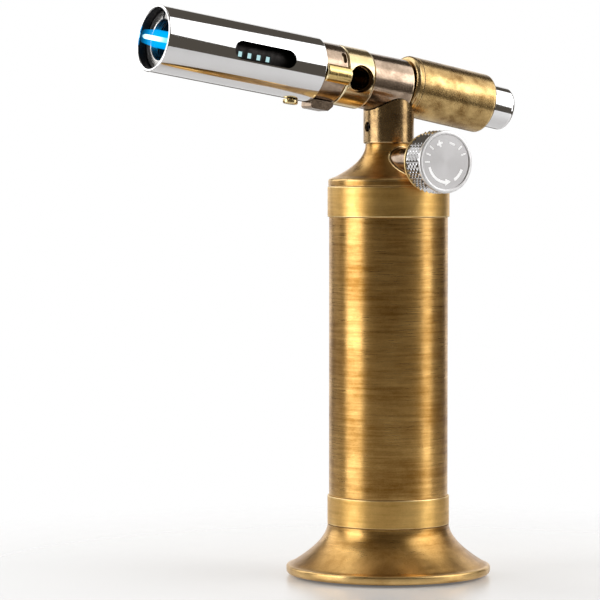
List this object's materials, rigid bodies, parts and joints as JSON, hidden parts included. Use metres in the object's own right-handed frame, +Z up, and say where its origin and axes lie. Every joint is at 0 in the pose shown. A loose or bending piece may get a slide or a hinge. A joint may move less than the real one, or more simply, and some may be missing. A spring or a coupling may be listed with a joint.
{
  "type": "butane torch",
  "caption": "Refillable butane torch: round metal tank on a flared foot, tilted flame tube, knurled gas knob and piezo push button.",
  "frame": {"origin": "middle of the bounding box's bottom face, on the surface that the torch stands on", "axes": "+Z up along the tank; the flame tube points to -X and upwards; the gas knob faces -Y"},
  "size_m": [0.1326, 0.0658, 0.1798],
  "materials": {
    "antique_brass": "brushed, darkened in the recesses",
    "collar_brass": "brushed round, bright edges",
    "satin_brass": "satin, mottled",
    "bright_brass": "fine brushed",
    "bronze": "darkened brass, worn lighter on the edges",
    "chrome": "polished",
    "steel": "satin",
    "burnt_steel": "heat blackened",
    "spring_steel": "drawn wire",
    "satin_face": "satin, polished rim and marks",
    "black_rubber": "matte",
    "ceramic": "unglazed ceramic",
    "black_plastic": "moulded",
    "tank_plastic": "moulded, milky",
    "felt": "felt",
    "lead_sleeve": "insulated lead"
  },
  "bodies": {
    "torch_body": {"base_foot": "antique_brass", "base_pad": "black_rubber", "lower_collar": "collar_brass", "tank_sleeve": "antique_brass", "upper_collar": "collar_brass", "shoulder": "antique_brass", "neck": "bronze", "neck_grub_screw": "steel", "fuel_tank": "tank_plastic", "fuel_tank_lid": "tank_plastic", "feed_tube": "bright_brass", "feed_wick": "felt", "gas_riser": "bright_brass", "fill_valve_body": "bright_brass", "fill_valve_spring": "spring_steel", "fill_valve_gasket": "black_rubber", "burner_body": "bronze", "flame_holder": "bronze", "jet_holder": "bright_brass", "gas_jet": "bright_brass", "mixing_tube": "steel", "flame_tube": "chrome", "burner_nozzle": "burnt_steel", "mouth_ring": "steel", "insulator": "ceramic", "electrode": "steel", "ignition_lead": "lead_sleeve", "lead_cover": "bright_brass", "retaining_lug": "bronze", "flame_tube_screw": "bright_brass", "ignition_housing": "satin_brass", "housing_front_cap": "satin_brass", "joining_nipple": "bright_brass", "button_spring": "spring_steel", "piezo_unit": "black_plastic", "valve_body": "bronze", "spindle_seal": "black_rubber", "gland_nut": "bright_brass"},
    "knob": {"valve_spindle": "steel", "knob_flange": "bright_brass", "knob": "chrome", "knob_face": "satin_face", "knob_screw": "steel"},
    "air_ring": {"air_ring": "bright_brass"},
    "button": {"push_button": "chrome"},
    "plunger": {"piezo_plunger": "black_plastic"},
    "fill_stem": {"fill_valve_stem": "steel"}
  },
  "joints": [
    {"name": "knob_turn", "type": "hinge", "parent": "torch_body", "child": "knob", "pos_m": [0.02037, 0.00017, 0.13196], "axis": [0, -1, 0], "range_deg": [-200, 70]},
    {"name": "air_ring_turn", "type": "hinge", "parent": "torch_body", "child": "air_ring", "pos_m": [0.02037, 0.00017, 0.15657], "axis": [-0.9886, 0, 0.1507], "range_deg": [0, 65]},
    {"name": "button_slide", "type": "slide", "parent": "torch_body", "child": "button", "axis": [-0.9835, 0, 0.181], "range_m": [0, 0.0042], "stiffness_N_per_m": 1500, "springref_m": -0.001, "deforming": ["button_spring"]},
    {"name": "plunger_slide", "type": "slide", "parent": "torch_body", "child": "plunger", "axis": [-0.9835, 0, 0.181], "range_m": [0, 0.0042]},
    {"name": "fill_stem_slide", "type": "slide", "parent": "torch_body", "child": "fill_stem", "axis": [0, 0, 1], "range_m": [0, 0.0018], "stiffness_N_per_m": 600, "springref_m": -0.001, "deforming": ["fill_valve_spring"]}
  ],
  "couplings": [
    {"joint": "plunger_slide", "follows": "button_slide", "ratio": 1}
  ]
}
